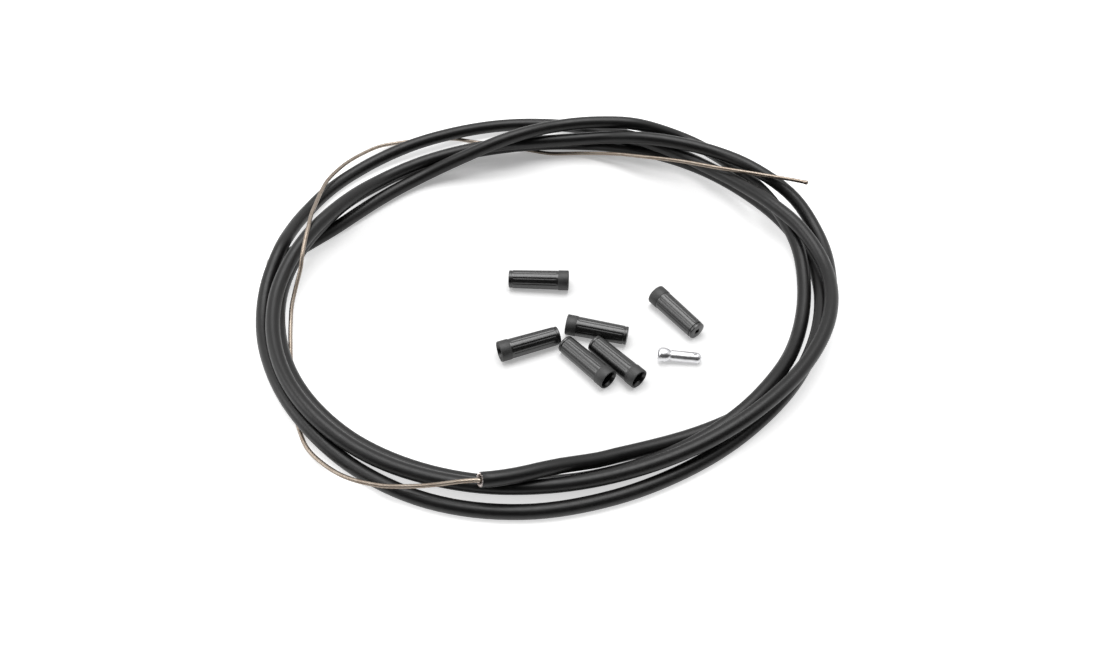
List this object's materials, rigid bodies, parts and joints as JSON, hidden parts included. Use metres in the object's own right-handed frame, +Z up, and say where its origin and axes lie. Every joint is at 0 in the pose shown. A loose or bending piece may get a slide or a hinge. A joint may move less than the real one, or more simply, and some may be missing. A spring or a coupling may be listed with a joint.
{
  "type": "shift cable",
  "caption": "Bicycle shift cable laid in a loose coil: black housing with its inner wire run through, plastic housing ferrules and a crimp-on wire end cap.",
  "frame": {"origin": "middle of the coil's oval, on the surface that the coil lies on", "axes": "+Z up out of the surface; +X along the coil's longer width; +Y across it, away from the side where the wire leaves the housing"},
  "size_m": [0.1705, 0.1527, 0.0145],
  "materials": {
    "housing_jacket": "satin black",
    "housing_strands": "cut steel strands",
    "housing_liner": "dark smooth liner",
    "inner_wire": "drawn stranded wire",
    "wire_head": "cast metal",
    "ferrules": "satin black",
    "end_cap": "bright drawn"
  },
  "bodies": {
    "root": {"housing_jacket": "housing_jacket", "housing_strands": "housing_strands", "housing_liner": "housing_liner", "inner_wire": "inner_wire", "wire_head": "wire_head", "ferrule_1": "ferrules", "ferrule_2": "ferrules", "ferrule_3": "ferrules", "ferrule_4": "ferrules", "ferrule_5": "ferrules", "ferrule_6": "ferrules", "end_cap": "end_cap"}
  },
  "joints": []
}
